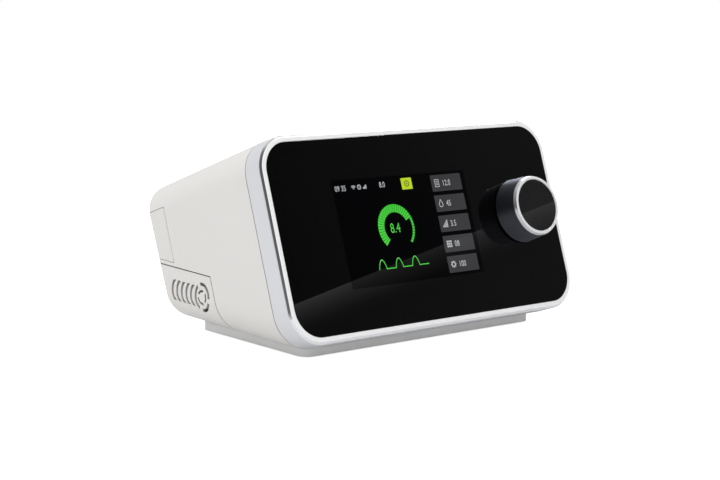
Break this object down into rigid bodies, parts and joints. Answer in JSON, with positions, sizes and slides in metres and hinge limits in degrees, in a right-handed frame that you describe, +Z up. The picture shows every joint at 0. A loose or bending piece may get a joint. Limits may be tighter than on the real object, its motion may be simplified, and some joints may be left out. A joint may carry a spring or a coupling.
{
  "type": "non-invasive ventilator",
  "caption": "Bedside breathing machine with a leaning glass panel, one large push-and-turn knob, a clip-on intake cover and a round rear air outlet.",
  "frame": {"origin": "on the table, under the middle of the machine's bounding box", "axes": "+X to the right as the user sees the panel, +Y to the rear, +Z up"},
  "size_m": [0.2126, 0.1604, 0.1161],
  "materials": {
    "panel_glass": "deep glossy black, clear over the display",
    "bezel_silver": "satin silver paint with a bright chamfer",
    "casing_white": "fine satin, warm white",
    "base_grey": "fine satin, light grey",
    "knob_dark": "dark anodised, finely turned",
    "knob_bright": "polished",
    "knob_black": "high gloss black",
    "display_unit": "lit colour display",
    "inner_plastic": "plain moulded",
    "outlet_plastic": "smooth moulded grey",
    "black_plastic": "plain black",
    "board_green": "lacquered circuit board",
    "steel": "plated or ground",
    "magnet": "plain sintered",
    "soft_rubber": "matt, soft",
    "open_foam": "open-cell foam and pleated felt",
    "contact_brass": "plated contact"
  },
  "bodies": {
    "housing": {"air_filter": "open_foam", "air_outlet": "outlet_plastic", "alarm_buzzer": "black_plastic", "base_front_strip": "base_grey", "base_tray": "base_grey", "bezel": "bezel_silver", "blower_base": "inner_plastic", "blower_cover": "inner_plastic", "blower_mount": "soft_rubber", "board_components": "black_plastic", "board_screws": "steel", "card_socket": "inner_plastic", "case_screws": "steel", "case_shell": "casing_white", "control_board": "board_green", "display_module": "display_unit", "door_pin": "steel", "front_frame": "inner_plastic", "front_glass": "panel_glass", "intake_chamber": "inner_plastic", "main_board": "board_green", "main_board_screws": "steel", "motor_bearings": "steel", "motor_housing": "steel", "motor_stator": "steel", "muffler_foam": "open_foam", "outlet_coupling": "soft_rubber", "port_bay": "inner_plastic", "power_pin": "contact_brass", "power_socket": "black_plastic", "rubber_feet": "soft_rubber", "switch_housing": "steel", "switch_nut": "steel"},
    "knob_carrier": {"push_sleeve": "inner_plastic"},
    "knob": {"knob_shaft": "steel", "knob_body": "knob_dark", "knob_ring": "knob_bright", "knob_cap": "knob_black"},
    "cover": {"intake_cover": "casing_white"},
    "door": {"port_door": "casing_white"},
    "card": {"memory_card": "black_plastic"},
    "rotor": {"impeller": "inner_plastic", "motor_shaft": "steel", "motor_magnet": "magnet"}
  },
  "joints": [
    {"name": "knob_push", "type": "slide", "parent": "housing", "child": "knob_carrier", "axis": [0, 0.9415, -0.3371], "range_m": [0, 0.0006], "stiffness_N_per_m": 4000, "springref_m": -0.0005},
    {"name": "knob_turn", "type": "hinge", "parent": "knob_carrier", "child": "knob", "pos_m": [0.0731, -0.0597, 0.06622], "axis": [0, -0.9415, 0.3371], "continuous": true},
    {"name": "intake_cover_pull", "type": "slide", "parent": "housing", "child": "cover", "axis": [-1, 0, 0], "range_m": [0, 0.03]},
    {"name": "port_door_swing", "type": "hinge", "parent": "housing", "child": "door", "pos_m": [-0.0731, 0.05055, 0.03763], "axis": [0, -0.3746, -0.9272], "range_deg": [0, 95]},
    {"name": "memory_card_slide", "type": "slide", "parent": "housing", "child": "card", "axis": [0, 0.9415, -0.3371], "range_m": [0, 0.005]},
    {"name": "rotor_spin", "type": "hinge", "parent": "housing", "child": "rotor", "pos_m": [-0.014, -0.0053, 0.03697], "axis": [0, 0, 1], "continuous": true}
  ]
}
